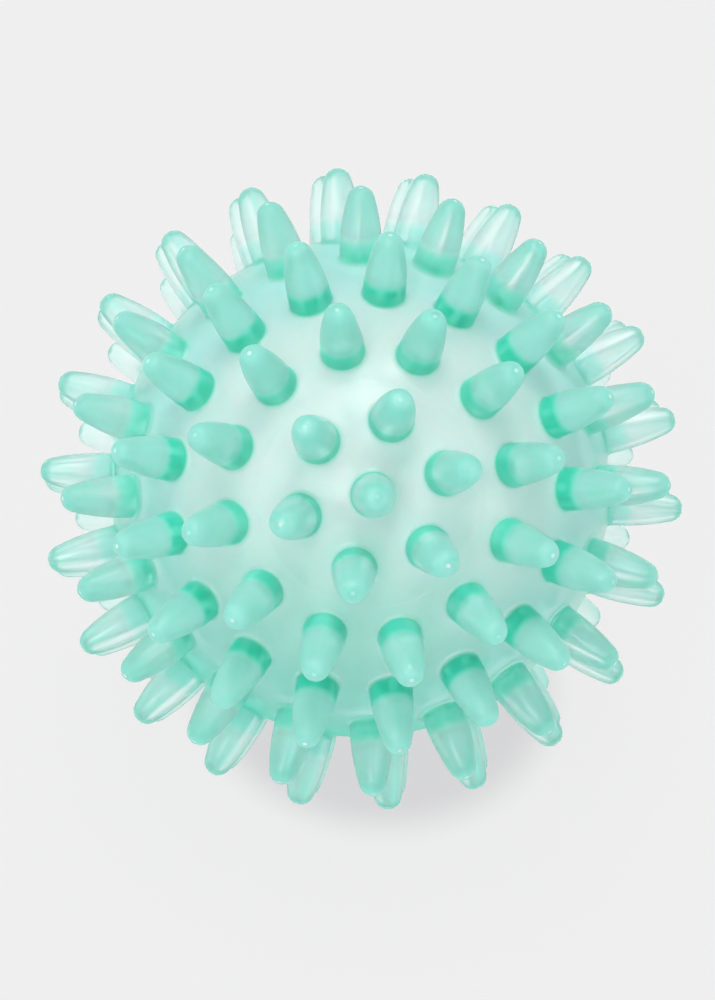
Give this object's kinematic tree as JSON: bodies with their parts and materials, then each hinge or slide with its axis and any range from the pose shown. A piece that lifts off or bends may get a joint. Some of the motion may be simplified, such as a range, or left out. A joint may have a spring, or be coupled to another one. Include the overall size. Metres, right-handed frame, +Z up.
{
  "type": "spiky sensory ball",
  "caption": "Hollow soft vinyl sensory ball with rings of tapered round-tipped spikes over a translucent skin and a plugged air valve at one pole, for squeezing and rolling.",
  "frame": {"origin": "centre of the ball", "axes": "+Z up with the ball lying on three spike tips; the front pole points towards -Y and up, the valve at the rear pole towards +Y and down"},
  "size_m": [0.0896, 0.0897, 0.089],
  "materials": {
    "skin_vinyl": "thin translucent soft vinyl, smooth and softly glossy outside, frosted inside",
    "spike_vinyl": "solid translucent soft vinyl, smooth and softly glossy",
    "valve_vinyl": "thick translucent soft vinyl, satin"
  },
  "bodies": {
    "ball": {"front_half_skin": "skin_vinyl", "rear_half_skin": "skin_vinyl", "front_pole_spike": "spike_vinyl", "front_ring_1_spikes": "spike_vinyl", "front_ring_2_spikes": "spike_vinyl", "front_ring_3_spikes": "spike_vinyl", "front_ring_4_spikes": "spike_vinyl", "front_ring_5_spikes": "spike_vinyl", "rear_ring_1_spikes": "spike_vinyl", "rear_ring_2_spikes": "spike_vinyl", "rear_ring_3_spikes": "spike_vinyl", "rear_ring_4_spikes": "spike_vinyl", "rear_ring_5_spikes": "spike_vinyl", "valve_collar": "valve_vinyl"},
    "plug": {"valve_plug": "valve_vinyl"}
  },
  "joints": [
    {"name": "plug_pull", "type": "slide", "parent": "ball", "child": "plug", "axis": [0.055, 0.6676, -0.7425], "range_m": [0, 0.008]}
  ]
}
